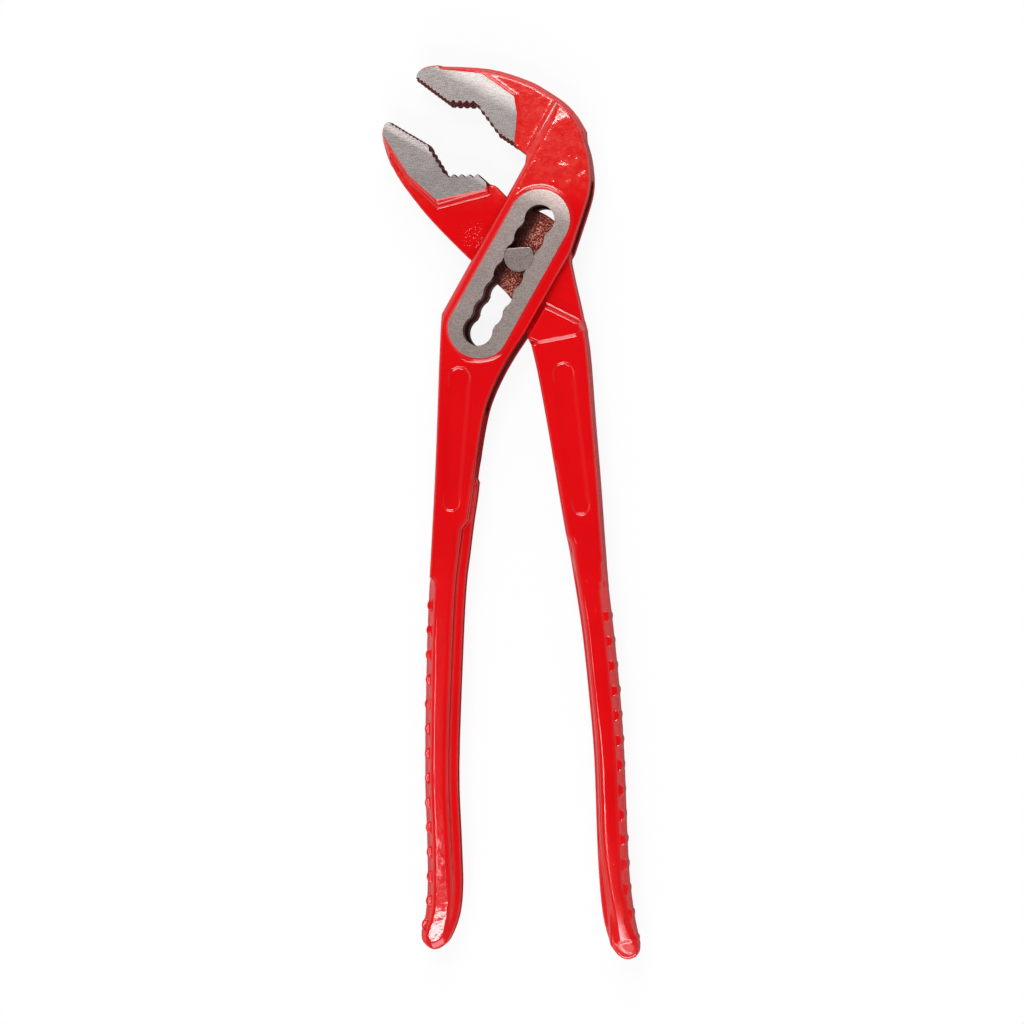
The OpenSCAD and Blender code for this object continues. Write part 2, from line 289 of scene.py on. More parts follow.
def facing(d, axis):
    """How far the nearest edge of an outline faces along a direction, from about -1 to 1."""
    slope_x, slope_y = np.gradient(d, VOXEL)
    return axis[0] * slope_x + axis[1] * slope_y


def solid(value):
    """Two-dimensional field as single precision, ready for the heights."""
    return np.asarray(value, np.float32)[:, :, None]


def slab(d, z, half, r, lean=0.0, level=0.0):
    """Plate with rounded edges: its side leans in by lean per millimetre above the level."""
    lean = np.asarray(lean, np.float32)
    a = (d + lean * (z - level)) / np.sqrt(1 + lean * lean) + r
    b = z - half + r
    out = np.sqrt(np.maximum(a, 0) ** 2 + np.maximum(b, 0) ** 2)
    return np.minimum(np.maximum(a, b), 0) + out - r


def join(a, b, fillet):
    """Union of two fields with a fillet of about that size."""
    return np.minimum(a, b) - np.maximum(fillet - np.abs(a - b), 0) ** 2 / (4 * fillet)


def capsule(lat, p, q, r, s):
    """Distance to a strip with round ends, from p, of radius r, to q, of radius s."""
    dx = lat.x - p[0]
    dy = lat.y - p[1]
    e = np.array(q) - np.array(p)
    t = np.clip((dx * e[0] + dy * e[1]) / (e @ e), 0, 1)
    return np.hypot(dx - t * e[0], dy - t * e[1]) - (r + t * (s - r))


def panel(lat, p, q, r, s):
    """Depth of the shallow bare panel on a handle's root, with steep ends and soft sides."""
    depth = 0.42
    inward = step(np.minimum(p[1] - lat.y, lat.y - q[1]), -0.5, 4)
    softness = 0.4 + 1.0 * inward
    return depth * step(-capsule(lat, p, q, r, s) / softness, -0.6, 1.0)


def raised(d, rise):
    """Height of a ground face above its surroundings at a distance outside its edge."""
    foot = 2.2
    spare = 1.25
    return rise * np.clip(1 - d / foot, 0, spare) ** 3


def grip_outline(lat, silhouette, outward):
    """Silhouette of a lever with the grip ribs nearly flush, and the x of the ribbed edge."""
    rib_width = 5
    stand_out = 0.2
    first, last = lat.edges(silhouette)
    edge = without_bumps(outward * (last if outward > 0 else first), rib_width)
    grip = (lat.y < -GRIP_START) & (lat.y > -GRIP_END)
    trimmed = np.maximum(silhouette, outward * lat.x - edge - stand_out)
    return np.where(grip, trimmed, silhouette), outward * edge


def grip_sides(lat, face, silhouette, height, outward, start, band_depth, flange_depth):
    """Outline of a handle's face, with the lean, level and rounding of its sides.

    The band is on the side that outward points to, from a distance below the pivot on,
    and the flange is on the other side."""
    root_lean = 0.04
    band_lean = 0.62
    flange_lean = 0.2
    flare_lean = 0.4
    root_level = 2
    flange_rise = 1.4

    # Outline: the face's own along the ribs, and drawn in from the silhouette elsewhere
    first, last = lat.edges(face)
    out = step(outward * (lat.x - (first + last) / 2), -1.2, 1.2)
    narrowing = 1 - 0.45 * lat.below(182, 193)
    plain = lat.below(start + 4, start + 7) * (1 - lat.below(178, 184))
    near = silhouette + band_depth * narrowing
    band_face = near + plain * (face - 0.3 - near)
    flange_face = silhouette + flange_depth * narrowing
    handle = lat.below(56, 58)
    face = face + handle * (out * band_face + (1 - out) * flange_face - face)

    # Sides: nearly upright at the root, leaning in along the band and the flange
    band = out * lat.below(start, start + 2.5)
    flange = (1 - out) * lat.below(start - 10, start - 6)
    flare = lat.below(FLARE_START, FLARE_END)
    lean = root_lean + band * band_lean + flange * (flange_lean + flare_lean * flare)
    level = root_level + band * (height - root_level) + flange * flange_rise
    rounding = 1.0 - 0.45 * band + 0.8 * handle * (1 - out - flange)
    return face, solid(lean), solid(level), solid(rounding)


def flange_plate(lat, silhouette):
    """Thin plate over a lever's whole silhouette, falling a little toward its edge."""
    edge_drop = 0.15
    rounding = 0.75
    half = FLANGE_HALF - edge_drop + 0.13 * np.clip(-silhouette, 0, 3)
    return slab(solid(silhouette), lat.z, solid(half), rounding)


def crown(lat, face, start):
    """How far a grip's face falls away beside its crest line, from a distance below the pivot on."""
    half_width = 2.5
    steepness = 0.05
    n = round(4 / VOXEL)
    middle = np.pad(sum(lat.edges(face)) / 2, n, mode="edge")
    middle = np.convolve(middle, np.full(2 * n + 1, 1 / (2 * n + 1)), "valid")
    aside = np.clip(lat.x - middle, -half_width, half_width)
    return steepness * aside ** 2 * lat.below(start, start + 25)


def dents(lat):
    """Depth of the dents that forging left on the head."""
    depth = 0.0
    for p, q, deep in HEAD_DENTS:
        depth = depth + deep * np.exp(-(capsule(lat, p, q, 0, 0) / DENT_WIDTH) ** 2)
    return depth


def tip_drop(lat, silhouette, length, drop):
    """How far a handle's face falls away over a length at its end."""
    dome_width = 2.5
    dome_drop = 0.4
    run = np.clip((-lat.y - HANDLE_END + length) / length, 0, 1)
    dome = np.clip(1 + silhouette / dome_width, 0, 1) ** 2 * lat.below(185, 193)
    return drop * run * run + dome_drop * dome


def add_ribs(field, lat, height, edge, inward, first):
    """Round grip ribs along an edge of the band, downward from the first one's y."""
    around = 3
    inset = 1.1
    radius = 1.75
    squeeze = 1.35
    below_face = 0.65
    for rib in range(RIB_COUNT):
        y = first - RIB_PITCH * rib
        x = np.interp(y, lat.ys, edge) + inward * inset
        i, k = np.searchsorted(lat.xs, (x - around, x + around))
        j, m = np.searchsorted(lat.ys, (y - around, y + around))
        area = np.hypot((lat.x[i:k] - x) * squeeze, lat.y[:, j:m] - y) - radius
        top = np.interp(y, lat.ys, height[np.searchsorted(lat.xs, x)]) - below_face
        shape = slab(solid(area), lat.z, top, r=0.25, lean=0.1, level=3)
        field[i:k, j:m] = join(field[i:k, j:m], shape, fillet=0.2)


def field_mesh(name, lat, field):
    """Mesh of a field and of its mirror image below the parting plane."""
    far = 3.0
    both = np.concatenate((field[:, :, ::-1], field), axis=2)
    grid = openvdb.FloatGrid(background=far)
    grid.copyFromArray(np.clip(both, -far, far).astype(np.float32), tolerance=0.0)
    points, quads = grid.convertToQuads(isovalue=0.0)
    low = np.array((lat.xs[0], lat.ys[0], -lat.zs[-1]))
    points = (points.astype(np.float64) * VOXEL + low + (0, 0, MID_Z)) / 1000
    a, b, c, d = (points[quads[:, i]] for i in range(4))
    if np.sum(np.cross(c - a, d - b) * (a + b + c + d)) < 0:
        quads = quads[:, ::-1]
    mesh = bpy.data.meshes.new(name)
    mesh.vertices.add(len(points))
    mesh.vertices.foreach_set("co", points.astype(np.float32).ravel())
    mesh.loops.add(quads.size)
    mesh.loops.foreach_set("vertex_index", quads.astype(np.int32).ravel())
    mesh.polygons.add(len(quads))
    mesh.polygons.foreach_set("loop_start", np.arange(0, quads.size, 4, dtype=np.int32))
    mesh.update(calc_edges=True)
    mesh.validate()
    return mesh


# Levers

def outer_lever_field():
    """Upper jaw, box and left handle: lattice, field, silhouette, ground pad and window's area."""
    lat = Lattice("outer_lever", top=8)
    z = lat.z
    face = lat.distance(slice_loops("outer_lever", FACE_LEVEL)[:1])
    silhouette = np.minimum(face, lat.distance(slice_loops("outer_lever", FLANGE_LEVEL)))
    silhouette, edge = grip_outline(lat, silhouette, outward=-1)
    walls = lat.distance(slice_loops("outer_lever", WINDOW_LEVEL))
    boss = lat.distance(slice_loops("outer_lever", BOSS_LEVEL)[:1])
    boss = boss + step(-lat.along(SLOT_AXIS), 25, 33)

    # Ground pad, with a painted rim along the jaw's back
    rim_width = 0.5
    pad = lat.distance(loops_above(slice_loops("outer_lever", PAD_LEVEL), UPPER_JAW_START))
    back = step(facing(silhouette, JAW_AXIS), 0.1, 0.6)
    pad = np.maximum(pad, silhouette + rim_width * back)

    # Height of the face: box, slope down to the jaw, handle tapering to its end
    slope_width = 3
    up_slope = lat.along((0.8746, -0.4848), TOP_NOTCH + (-4.2, 19.4))
    head = JAW_HALF + (BOX_HALF - JAW_HALF) * np.clip(up_slope / slope_width, 0, 1)
    down_facet = lat.along((-0.47, 0.88), (9.5, 36.9))
    facet = BOX_HALF - 0.165 * np.clip(down_facet, 0, 9)
    head = np.minimum(head, np.maximum(facet, JAW_HALF))
    taper = np.interp(lat.y, (-193.6, -62.6, -26.4), (END_HALF, HANDLE_HALF, BOX_HALF))
    taper = blurred(taper + 0 * lat.x, width=6)
    height = blurred(np.minimum(taper, blurred(head, width=0.5)), width=0.4)
    height = height - panel(lat, *OUTER_PANEL) - dents(lat)
    height = height - tip_drop(lat, silhouette, length=26, drop=1.9)

    # Band on the left of the grip, flange on its right
    band_depth = 2.1 * lat.below(88.8, 92)
    flange_depth = 0.9 * lat.below(61, 64) + 1.5 * lat.below(72.8, 76)
    face, lean, level, rounding = grip_sides(
        lat, face, silhouette, height, outward=-1, start=89,
        band_depth=band_depth, flange_depth=flange_depth,
    )

    # Ground pad of the jaw and ground boss of the box, left a little high
    height = height + raised(pad, PAD_FACE - JAW_HALF) + raised(boss, BOSS_FACE - BOX_HALF)
    rounding = rounding + solid(step(-pad, -1.5, 0)) * (0.15 - rounding)
    main = slab(solid(face), z, solid(height), rounding, lean, level)
    field = np.maximum(main, solid(silhouette))
    field = join(field, flange_plate(lat, silhouette), FILLET)
    add_ribs(field, lat, height, edge, inward=1, first=-97.0)
    field = np.maximum(field, solid(silhouette - OVERHANG))

    # Window for the neck
    zone = (lat.y < TOP_NOTCH[1] + 20.5) & (lat.y > BOTTOM_NOTCH[1] - 34)
    cut = np.minimum(solid(np.where(zone, walls, -REACH)), WINDOW_HALF - z)
    field = np.maximum(field, cut)
    return lat, field, silhouette, pad, np.broadcast_to(zone, silhouette.shape)


def inner_lever_field():
    """Lower jaw, neck and right handle: lattice, field, silhouette, ground pad and no window."""
    lat = Lattice("inner_lever", top=6.5)
    z = lat.z
    silhouette = lat.distance(slice_loops("inner_lever", FLANGE_LEVEL)[:1])
    silhouette, edge = grip_outline(lat, silhouette, outward=1)
    neck = lat.distance(slice_loops("inner_lever", NECK_LEVEL)[:1])
    face_loops = slice_loops("inner_lever", FACE_LEVEL)
    face = lat.distance([p for p in face_loops if p[:, 1].max() < LOWER_JAW_START])
    jaw = lat.distance(loops_above(face_loops, LOWER_JAW_START))
    pad = lat.distance(loops_above(slice_loops("inner_lever", PAD_LEVEL), LOWER_JAW_START))
    guard = lat.distance(slice_loops("inner_lever", GUARD_LEVEL)[:1])

    # Height of the handle's face
    taper = np.interp(lat.y, (-195.1, -78.7), (END_HALF, HANDLE_HALF))
    height = blurred(taper + 0 * lat.x, width=6) - panel(lat, *INNER_PANEL)
    height = height - tip_drop(lat, silhouette, length=17, drop=1.3)

    # Band on the right of the grip, flange on its left
    band_depth = 0.5 * lat.below(83.5, 86) + 1.6 * lat.below(89.5, 93)
    flange_depth = 1.1 * lat.below(76.8, 80.5) + 1.8 * lat.below(FLARE_START, FLARE_END)
    face, lean, level, rounding = grip_sides(
        lat, face, silhouette, height, outward=1, start=89.5,
        band_depth=band_depth, flange_depth=flange_depth,
    )
    height = height - crown(lat, face, start=118)
    main = slab(solid(face), z, solid(height), rounding, lean, level)
    field = np.maximum(main, solid(silhouette))
    field = join(field, slab(solid(neck), z, NECK_HALF, r=0.6), FILLET)
    field = join(field, flange_plate(lat, silhouette), FILLET)
    add_ribs(field, lat, height, edge, inward=-1, first=-99.8)
    field = np.maximum(field, solid(silhouette))

    # Jaw with its ground pad and a rim along its back, and the finger guard beside the box
    rim_width = 0.6
    rise = JAW_HALF + raised(pad, PAD_FACE - JAW_HALF)
    rounding = solid(0.7 - 0.55 * step(-pad, -1.3, 0))
    back = step(-facing(jaw, JAW_AXIS), -0.3, 0.4)
    lean = solid(0.35 * back)
    jaw = np.maximum(jaw, silhouette + rim_width * back * step(34.8 - lat.y, 0, 4))
    plate = slab(solid(jaw), z, solid(rise), rounding, lean, level=3.8)
    field = join(field, plate, FILLET)
    plate = slab(solid(guard), z, GUARD_HALF, r=0.3, lean=0.3, level=GUARD_LEVEL)
    field = join(field, plate, FILLET)
    field = np.maximum(field, solid(silhouette - OVERHANG))

    # Bore for the pin with a seat for each pivot head
    bore_radius = 2.54
    seat_gap = 0.02
    bore = np.minimum(bore_radius - np.hypot(lat.x, lat.y), 1.0)
    key = lat.distance(slice_loops("front_pivot_head", HEAD_LEVEL)[:1])
    seat = np.minimum(solid(seat_gap - key), z - SEAT_FLOOR)
    field = np.maximum(field, np.maximum(solid(bore), seat))

    # Corner of the shoulder, cut back so that it clears the box in the narrowest pose
    shoulder_top = -12
    shoulder_side = 7.62
    beside = shoulder_side - lat.along((0.969, -0.245))
    beside = np.where(lat.y < shoulder_top, beside, -REACH)
    field = np.maximum(field, np.minimum(solid(beside), z - NECK_HALF))
    return lat, field, silhouette, pad, np.zeros_like(silhouette, bool)


# Grinding and milling, as boolean cuts

def prism(name, outline, low, high):
    """Upright prism on an outline, between two heights."""
    outline = np.asarray(outline)
    if loop_area(outline) < 0:
        outline = outline[::-1]
    n = len(outline)
    points = [
        (x / 1000, y / 1000, (h + MID_Z) / 1000) for h in (low, high) for x, y in outline
    ]
    ends = [tuple(range(n))[::-1], tuple(range(n, 2 * n))]
    sides = [(i, (i + 1) % n, (i + 1) % n + n, i + n) for i in range(n)]
    mesh = bpy.data.meshes.new(name)
    mesh.from_pydata(points, [], ends + sides)
    cutter = bpy.data.objects.new(name, mesh)
    bpy.context.scene.collection.objects.link(cutter)
    return cutter


def cut_away(obj, cutters):
    """Takes the cutters off a piece and deletes them."""
    for cutter in cutters:
        cut = obj.modifiers.new(cutter.name, "BOOLEAN")
        cut.operation = "DIFFERENCE"
        cut.solver = "MANIFOLD"
        cut.object = cutter
    graph = bpy.context.evaluated_depsgraph_get()
    mesh = bpy.data.meshes.new_from_object(obj.evaluated_get(graph))
    obj.modifiers.clear()
    obj.data = mesh
    for cutter in cutters:
        bpy.data.objects.remove(cutter)


def lever(name, shape, mouth, cutters, materials):
    """Piece made of a field, cut, with a material for each kind of face.

    Mouth is the direction that the jaw's teeth face."""
    sharp = 1.0
    lat, field, silhouette, pad, zone = shape
    obj = bpy.data.objects.new(name, field_mesh(name, lat, field))
    bpy.context.scene.collection.objects.link(obj)
    cut_away(obj, cutters)
    mesh = obj.data
    mesh.materials.clear()
    for material in materials:
        mesh.materials.append(material)
    kinds = face_kinds(mesh, lat, silhouette, pad, zone, mouth)
    mesh.polygons.foreach_set("material_index", kinds.astype(np.int32))
    mesh.polygons.foreach_set("use_smooth", np.ones(len(kinds), bool))
    edit = bmesh.new()
    edit.from_mesh(mesh)
    for edge in edit.edges:
        if len({f.material_index for f in edge.link_faces}) > 1:
            edge.smooth = False
        elif len(edge.link_faces) == 2 and edge.calc_face_angle(0) > sharp:
            edge.smooth = False
    edit.to_mesh(mesh)
    edit.free()
    return obj


def face_table(mesh):
    """Centres, from the parting plane, and normals of a mesh's faces."""
    centres = np.empty(len(mesh.polygons) * 3)
    normals = np.empty(len(mesh.polygons) * 3)
    mesh.polygons.foreach_get("center", centres)
    mesh.polygons.foreach_get("normal", normals)
    return centres.reshape(-1, 3) * 1000 - (0, 0, MID_Z), normals.reshape(-1, 3)


def face_kinds(mesh, lat, silhouette, pad, zone, mouth):
    """Kind of each face of a lever, by its place and the way it faces."""
    centres, normals = face_table(mesh)
    y = centres[:, 1]
    level = np.abs(centres[:, 2])
    upward = np.abs(normals[:, 2])
    close = 0.01
    at_boss = np.abs(level - BOSS_FACE) < close
    at_pad = np.abs(level - PAD_FACE) < close
    ground = (upward > 0.999) & (at_boss | at_pad)
    ground &= (level > BOSS_FACE - 0.1) | (y > 12)

    slot_low = -28.2
    slot_high = 16.5
    slot_half_width = 4.6
    along = centres[:, :2] @ SLOT_AXIS
    aside = np.abs(centres[:, :2] @ (SLOT_AXIS[1], -SLOT_AXIS[0]))
    slot = (along > slot_low) & (along < slot_high) & (aside < slot_half_width)
    slot &= (upward < 0.02) & (level > 3.3) & (level < BOSS_FACE) & (y > -26) & (y < 16)

    i = np.clip(np.searchsorted(lat.xs, centres[:, 0]), 0, len(lat.xs) - 1)
    j = np.clip(np.searchsorted(lat.ys, y), 0, len(lat.ys) - 1)
    inward = normals[:, 2] * centres[:, 2] < -0.5 * level
    window = zone[i, j] & (level < WINDOW_HALF + 0.05) & (inward | (silhouette[i, j] < -0.6))
    teeth = (upward < 0.97) & (normals[:, :2] @ mouth > 0)
    teeth &= (pad[i, j] < 1.0) & (silhouette[i, j] > -0.7)
    return np.select((ground, slot, window, teeth), (GROUND, SLOT, WINDOW, TEETH), PAINT)


# Materials

class Nodes:
    """Small helper that adds linked nodes to a material or world."""

    def __init__(self, tree):
        self.tree = tree
        tree.nodes.clear()

    def add(self, kind, inputs=None, **settings):
        """Node with its settings, and each input either linked or set."""
        node = self.tree.nodes.new(kind)
        for key, value in settings.items():
            setattr(node, key, value)
        for key, value in (inputs or {}).items():
            if isinstance(value, bpy.types.NodeSocket):
                self.tree.links.new(value, node.inputs[key])
            else:
                node.inputs[key].default_value = value
        return node

    def math(self, operation, a, b=0.0):
        return self.add("ShaderNodeMath", {0: a, 1: b}, operation=operation).outputs[0]

    def plus(self, a, b):
        return self.math("ADD", a, b)

    def minus(self, a, b):
        return self.math("SUBTRACT", a, b)

    def times(self, a, b):
        return self.math("MULTIPLY", a, b)

    def absolute(self, a):
        return self.math("ABSOLUTE", a)

    def larger(self, a, b):
        return self.math("MAXIMUM", a, b)

    def mix(self, factor, a, b):
        """Colour between a and b."""
        node = self.add("ShaderNodeMix", {0: factor, 6: a, 7: b}, data_type="RGBA")
        return node.outputs[2]

    def blend(self, factor, a, b):
        """Number between a and b."""
        node = self.add("ShaderNodeMix", {0: factor, 2: a, 3: b}, data_type="FLOAT")
        return node.outputs[0]

    def range(self, value, low, high, a=0.0, b=1.0):
        """Smooth step from a at low to b at high."""
        node = self.add(
            "ShaderNodeMapRange", {0: value, 1: low, 2: high, 3: a, 4: b},
            interpolation_type="SMOOTHSTEP",
        )
        return node.outputs[0]

    def noise(self, place, scale, detail=2.0, roughness=0.5):
        inputs = {"Vector": place, "Scale": scale, "Detail": detail, "Roughness": roughness}
        return self.add("ShaderNodeTexNoise", inputs).outputs["Fac"]

    def spots(self, place, scale):
        inputs = {"Vector": place, "Scale": scale}
        return self.add("ShaderNodeTexVoronoi", inputs).outputs["Distance"]

    def split(self, vector):
        return self.add("ShaderNodeSeparateXYZ", {0: vector}).outputs

    def place(self, stretch=(1, 1, 1), turn=0.0):
        """The piece's own coordinates in millimetres, turned about Z and stretched."""
        source = self.add("ShaderNodeTexCoord").outputs["Object"]
        scale = [1000 * s for s in stretch]
        inputs = {"Vector": source, "Rotation": (0, 0, turn), "Scale": scale}
        return self.add("ShaderNodeMapping", inputs, vector_type="POINT").outputs[0]

    def bump(self, height, distance, strength=1.0, normal=None):
        inputs = {"Height": height, "Distance": distance, "Strength": strength}
        if normal is not None:
            inputs["Normal"] = normal
        return self.add("ShaderNodeBump", inputs).outputs[0]


def new_material(name):
    """Material with an empty node tree, and the helper that fills it."""
    material = bpy.data.materials.new(name)
    material.use_nodes = True
    return material, Nodes(material.node_tree)


def finish_surface(nodes, inputs):
    """Ends a material with its shader and output."""
    shader = nodes.add("ShaderNodeBsdfPrincipled", inputs)
    nodes.add("ShaderNodeOutputMaterial", {"Surface": shader.outputs[0]})


def red_enamel(name, worn_neck):
    """Glossy red paint on forged steel: pitted and scuffed on the jaws, thin and brown on the neck;
    with painted light and shade of dents on the head, painted shade on the side walls and a painted
    shadow on the neck.
    """
    painted_wall_shade = 0.45 if worn_neck else 0.8
    tip_relief = 0.12 if worn_neck else 0.8
    tip_rough = 0.18 if worn_neck else 0.12
    material, n = new_material(name)
    place = n.place()
    x, y, z = n.split(place)
    broad = n.noise(place, scale=0.06)
    medium = n.noise(place, scale=0.35, detail=3.0, roughness=0.55)
    fine = n.noise(place, scale=1.6)
    grain = n.noise(place, scale=4.5)
    head = n.range(y, 12.0, 24.0)
    tip = n.range(y, -150.0, -172.0)
    normal = n.add("ShaderNodeTexCoord").outputs["Normal"]
    wall = n.range(n.absolute(n.split(normal)[2]), 0.4, 0.12)
    bare = 1.0 if worn_neck else head

    # Colour: mottled on the head, partly its own uneven tone and partly painted light and shade of its
    # dents, scuffed, and with painted shade darkening the side walls
    red = n.mix(n.range(broad, 0.3, 0.7), (0.72, 0.0022, 0.0045, 1), (0.77, 0.0032, 0.0055, 1))
    # Mottle on the head: paler, more orange patches, partly uneven paint tone and partly painted light
    # and shade standing in for the dents' highlights
    dent_light_mottle = n.range(n.noise(place, scale=0.55, detail=3.0, roughness=0.6), 0.35, 0.7)
    tone_and_dent_light = n.mix(dent_light_mottle, (0.72, 0.009, 0.007, 1), (0.80, 0.032, 0.024, 1))
    red = n.mix(head, red, tone_and_dent_light)
    # Pale pink scuffs on the head: partly worn paint, partly painted glints standing in for highlights
    # on small pits
    scuffs_and_glints = n.times(n.range(medium, 0.6, 0.72), n.times(head, n.range(grain, 0.45, 0.6)))
    red = n.mix(n.times(scuffs_and_glints, 0.4), red, (0.80, 0.07, 0.055, 1))
    # Painted shade: the side walls get a darker red, standing in for the shade on walls that turn away
    # from the lamps
    red = n.mix(n.times(wall, painted_wall_shade), red, (0.34, 0.0012, 0.0018, 1))

    # Relief: orange peel, coarser on the head, and pits
    coarse = n.blend(head, n.blend(tip, 0.1, tip_relief), 1.0)
    relief = n.times(medium, coarse)
    relief = n.plus(relief, n.times(fine, n.blend(head, 0.02, 0.12)))
    pits = n.times(n.range(n.spots(place, 0.42), 0.2, 0.0), n.range(broad, 0.5, 0.62))
    relief = n.minus(relief, n.times(pits, 0.3))

    # Gloss: duller on the head and on the side walls
    rough = n.blend(head, n.blend(tip, 0.08, tip_rough), 0.17)
    rough = n.blend(wall, rough, n.blend(bare, 0.85, 0.55))
    gloss = n.blend(wall, 0.75, n.blend(bare, 0.08, 0.3))

    if worn_neck:
        # Thin brown paint with specks on the neck, and a painted shadow of the box that darkens its
        # left half
        aside = n.minus(n.times(x, SLOT_AXIS[1]), n.times(y, SLOT_AXIS[0]))
        ragged = n.times(n.minus(medium, 0.5), 3.0)
        painted_shadow = n.range(n.plus(aside, ragged), 1.2, -2.4)
        on_neck = n.range(n.plus(n.absolute(aside), ragged), 10.5, 9.0)
        worn = n.times(on_neck, n.range(n.absolute(n.minus(z, MID_Z)), 3.5, 3.3))
        speck = n.range(n.noise(place, scale=3.0, roughness=0.6), 0.5, 0.62)
        brown = n.mix(n.range(grain, 0.35, 0.65), (0.11, 0.005, 0.003, 1), (0.38, 0.022, 0.012, 1))
        brown = n.mix(speck, brown, (0.86, 0.46, 0.34, 1))
        # Painted shadow: near-black on the neck's left half, where the box's plate shades it
        brown = n.mix(n.times(painted_shadow, 0.92), brown, (0.022, 0.002, 0.0015, 1))
        red = n.mix(worn, red, brown)
        rough = n.blend(worn, rough, 0.6)
        gloss = n.blend(worn, gloss, 0.12)
        relief = n.plus(relief, n.times(worn, n.times(speck, 0.6)))

        # Rough patch of paint beside the box
        patch_centre = (-13.0, 5.5, 11.5)
        away = n.add("ShaderNodeVectorMath", {0: place, 1: patch_centre}, operation="DISTANCE")
        patch = n.range(away.outputs["Value"], 8.0, 2.0)
        relief = n.plus(relief, n.times(patch, n.times(fine, 0.8)))
    finish_surface(n, {
        "Base Color": red,
        "Roughness": rough,
        "Specular IOR Level": gloss,
        "Normal": n.bump(relief, distance=0.00016, strength=0.9),
    })
    return material


def ground_steel(name, turn, shine):
    """Bare steel with a fine ground grain: browner on the box, crowned on the upper jaw."""
    material, n = new_material(name)
    place = n.place()
    x, y, _ = n.split(place)
    up = n.plus(n.times(x, JAW_AXIS[0]), n.times(y, JAW_AXIS[1]))
    aside = n.minus(n.times(y, JAW_AXIS[0]), n.times(x, JAW_AXIS[1]))
    on_jaw = n.range(aside, 9.0, 12.0)

    # Faces that fall away toward the tops of box and upper jaw, and toward the lower jaw's teeth
    rise = n.larger(n.minus(up, n.blend(on_jaw, 14.0, 33.6)), 0.0)
    crowned = n.times(n.times(rise, rise), n.blend(on_jaw, -0.0105, -0.017))
    lower_edge = n.times(n.range(up, 12.2, 15.2), n.range(up, 24.0, 20.0))
    crowned = n.minus(crowned, n.times(n.times(lower_edge, on_jaw), 0.14))

    # Grain, clouds and specks
    lines = n.noise(n.place(stretch=(0.5, 3.0, 1), turn=turn), scale=1.3)
    fine = n.noise(place, scale=3.8, detail=3.0, roughness=0.65)
    both = n.plus(n.times(lines, 0.25), n.times(fine, 0.75))
    contrast = n.range(both, 0.35, 0.65)
    cloud = n.range(n.noise(place, scale=0.16, detail=3.0), 0.4, 0.7)
    speck = n.range(n.noise(place, scale=2.2), 0.66, 0.74)
    low = [0.24 * shine, 0.195 * shine, 0.18 * shine, 1]
    high = [0.52 * shine, 0.42 * shine, 0.39 * shine, 1]
    jaw_grey = n.mix(contrast, (0.155, 0.137, 0.132, 1), (0.445, 0.403, 0.39, 1))
    grey = n.mix(on_jaw, n.mix(contrast, low, high), jaw_grey)
    grey = n.mix(n.times(cloud, 0.2), grey, (0.22, 0.18, 0.165, 1))
    grey = n.mix(n.times(speck, 0.2), grey, (0.12, 0.09, 0.08, 1))
    ground_grain = n.bump(both, distance=0.00004, strength=0.6)
    finish_surface(n, {
        "Base Color": grey,
        "Metallic": 0.9,
        "Roughness": n.range(both, 0.2, 0.8, 0.31, 0.42),
        "Normal": n.bump(crowned, distance=0.001, normal=ground_grain),
    })
    return material


def slot_steel(name):
    """Dark milled wall of the slot, with smears of paint."""
    material, n = new_material(name)
    place = n.place()
    marks = n.noise(n.place(stretch=(1, 1, 0.15)), scale=1.1, detail=3.0, roughness=0.6)
    smear = n.range(n.noise(place, scale=0.35, detail=3.0, roughness=0.6), 0.48, 0.6)
    grey = n.mix(n.range(marks, 0.3, 0.7), (0.05, 0.03, 0.028, 1), (0.18, 0.12, 0.11, 1))
    finish_surface(n, {
        "Base Color": n.mix(n.times(smear, 0.7), grey, (0.20, 0.02, 0.015, 1)),
        "Metallic": n.minus(0.85, n.times(smear, 0.6)),
        "Roughness": n.range(marks, 0.2, 0.8, 0.42, 0.6),
        "Normal": n.bump(marks, distance=0.00008, strength=0.7),
    })
    return material


def tooth_side(name):
    """Maroon sides of the teeth: red paint darkened by painted shade, with steel showing through in
    worn spots.
    """
    material, n = new_material(name)
    place = n.place()
    grain = n.noise(place, scale=2.0, detail=3.0, roughness=0.6)
    worn = n.range(n.noise(place, scale=1.1), 0.6, 0.7)
    # Painted shade: dark maroon standing in for the red paint in shadow on the teeth's sides
    maroon = n.mix(n.range(grain, 0.35, 0.65), (0.075, 0.005, 0.006, 1), (0.17, 0.010, 0.011, 1))
    finish_surface(n, {
        "Base Color": n.mix(n.times(worn, 0.35), maroon, (0.33, 0.26, 0.24, 1)),
        "Roughness": n.range(grain, 0.2, 0.8, 0.65, 0.85),
        "Specular IOR Level": 0.3,
        "Normal": n.bump(grain, distance=0.0001, strength=0.7),
    })
    return material


def window_inside(name):
    """Rough inside of the box, with thin brown paint darkened by painted shade."""
    material, n = new_material(name)
    place = n.place()
    grain = n.noise(place, scale=2.4, detail=3.0, roughness=0.6)
    patch = n.range(n.noise(place, scale=0.3), 0.5, 0.65)
    # Painted shade: near-black red standing in for the shade inside the box
    dark = n.mix(n.range(grain, 0.35, 0.65), (0.05, 0.005, 0.005, 1), (0.13, 0.010, 0.009, 1))
    finish_surface(n, {
        "Base Color": n.mix(n.times(patch, 0.5), dark, (0.14, 0.012, 0.010, 1)),
        "Roughness": n.range(grain, 0.2, 0.8, 0.55, 0.75),
        "Specular IOR Level": 0.3,
        "Normal": n.bump(grain, distance=0.00012, strength=0.7),
    })
    return material


